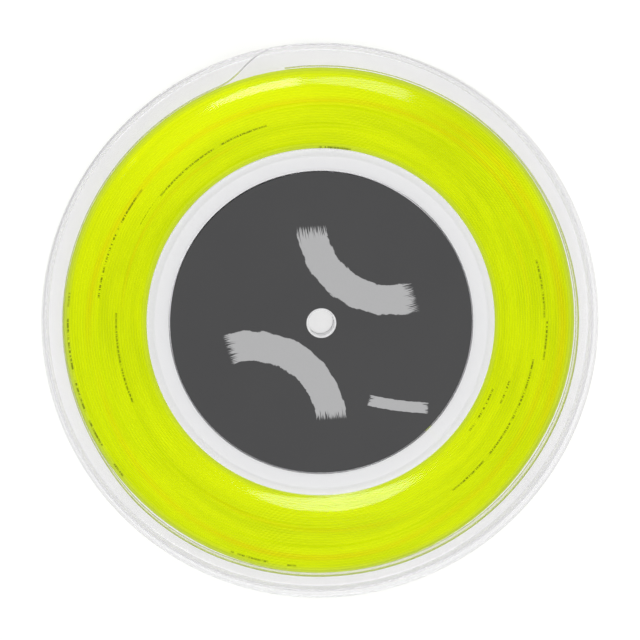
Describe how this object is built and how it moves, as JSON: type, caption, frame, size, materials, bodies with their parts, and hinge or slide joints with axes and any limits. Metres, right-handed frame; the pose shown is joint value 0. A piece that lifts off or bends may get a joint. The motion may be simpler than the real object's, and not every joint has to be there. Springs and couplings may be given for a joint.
{
  "type": "string reel",
  "caption": "Flat reel of racket string: clear flanges on a ribbed drum with a spindle bore, wound full of string under a clear retaining strip.",
  "frame": {"origin": "on the reel's axis, in the plane of its underside", "axes": "+Z along the axis from the rear flange to the front flange; +Y towards the top of the front label"},
  "size_m": [0.27, 0.27, 0.0158],
  "materials": {
    "clear_plastic": "clear moulded polystyrene, glossy, faintly grey",
    "natural_plastic": "uncoloured translucent moulded plastic, satin",
    "hub_plastic": "uncoloured moulded plastic, satin",
    "dark_label": "matt printed film label, dark grey with a pale grey dry-brush figure",
    "pale_label": "plain matt paper label",
    "string": "fluorescent yellow extruded polyester monofilament, glossy, slightly translucent",
    "clear_film": "clear springy plastic film, glossy"
  },
  "bodies": {
    "root": {"front_flange": "clear_plastic", "rear_flange": "clear_plastic", "core_drum": "natural_plastic", "hub_sleeve": "hub_plastic", "tie_pins": "hub_plastic", "front_label": "dark_label", "rear_label": "pale_label", "string_pack": "string", "string_turns": "string", "string_inner_end": "string", "retaining_strip": "clear_film"}
  },
  "joints": []
}
